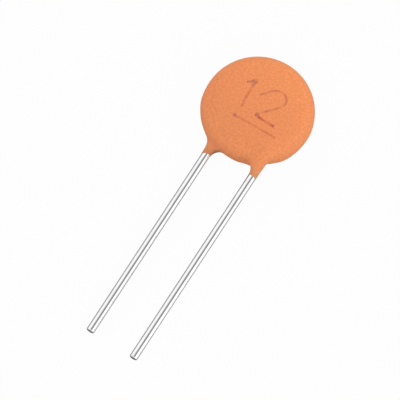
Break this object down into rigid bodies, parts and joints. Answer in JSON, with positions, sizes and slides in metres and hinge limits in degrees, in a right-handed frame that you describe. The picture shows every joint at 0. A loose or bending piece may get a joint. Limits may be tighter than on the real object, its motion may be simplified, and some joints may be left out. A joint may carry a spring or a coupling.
{
  "type": "ceramic disc capacitor",
  "caption": "Small round ceramic capacitor, dip-coated in orange-tan resin, with straight parallel wire leads leaving one edge for through-hole mounting.",
  "frame": {"origin": "centre of the flat rear face, on the surface that the part lies on", "axes": "+X across the leads, from the rear lead to the front lead; +Y along the leads, away from their tips; +Z out of the marked face"},
  "size_m": [0.0054, 0.0162, 0.0017],
  "materials": {
    "ceramic": "matte",
    "silver": "matte",
    "tinned_wire": "satin",
    "solder": "satin",
    "resin": "matte",
    "ink": "matte"
  },
  "bodies": {
    "root": {"ceramic_disc": "ceramic", "front_electrode": "silver", "rear_electrode": "silver", "front_lead": "tinned_wire", "rear_lead": "tinned_wire", "front_solder": "solder", "rear_solder": "solder", "coating": "resin", "value_mark": "ink"}
  },
  "joints": []
}
